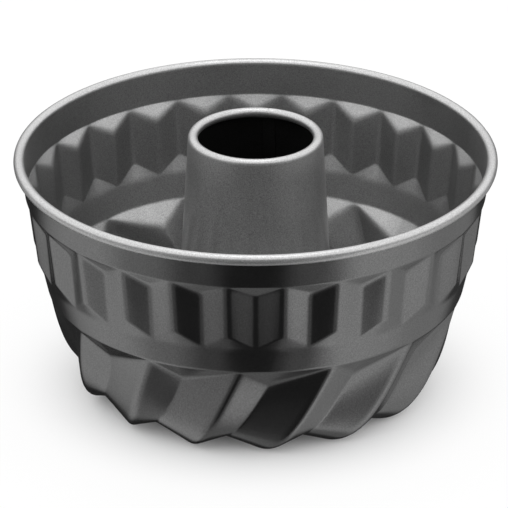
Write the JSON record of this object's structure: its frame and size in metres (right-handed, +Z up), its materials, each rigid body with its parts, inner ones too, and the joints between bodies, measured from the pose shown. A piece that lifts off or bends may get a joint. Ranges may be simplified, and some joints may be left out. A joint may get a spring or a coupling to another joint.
{
  "type": "fluted tube pan",
  "caption": "Small ring cake pan of coated steel sheet: upright flutes under a rolled rim, swirling flutes round the foot, and a hollow tube up the middle.",
  "frame": {"origin": "centre of the tube's axis on the table that the pan stands on", "axes": "+Z up along the tube's axis, -Y towards the viewer of the picture, +X to the viewer's right"},
  "size_m": [0.16, 0.16, 0.0894],
  "materials": {
    "shell_coating": "satin dark grey non-stick coating with a fine metallic sparkle, over steel sheet",
    "wire_steel": "bare drawn steel wire, hidden in the rolled rim",
    "tube_coating": "satin dark grey non-stick coating with a fine metallic sparkle, over steel sheet"
  },
  "bodies": {
    "root": {"pan_shell": "shell_coating", "rim_wire": "wire_steel", "centre_tube": "tube_coating"}
  },
  "joints": []
}
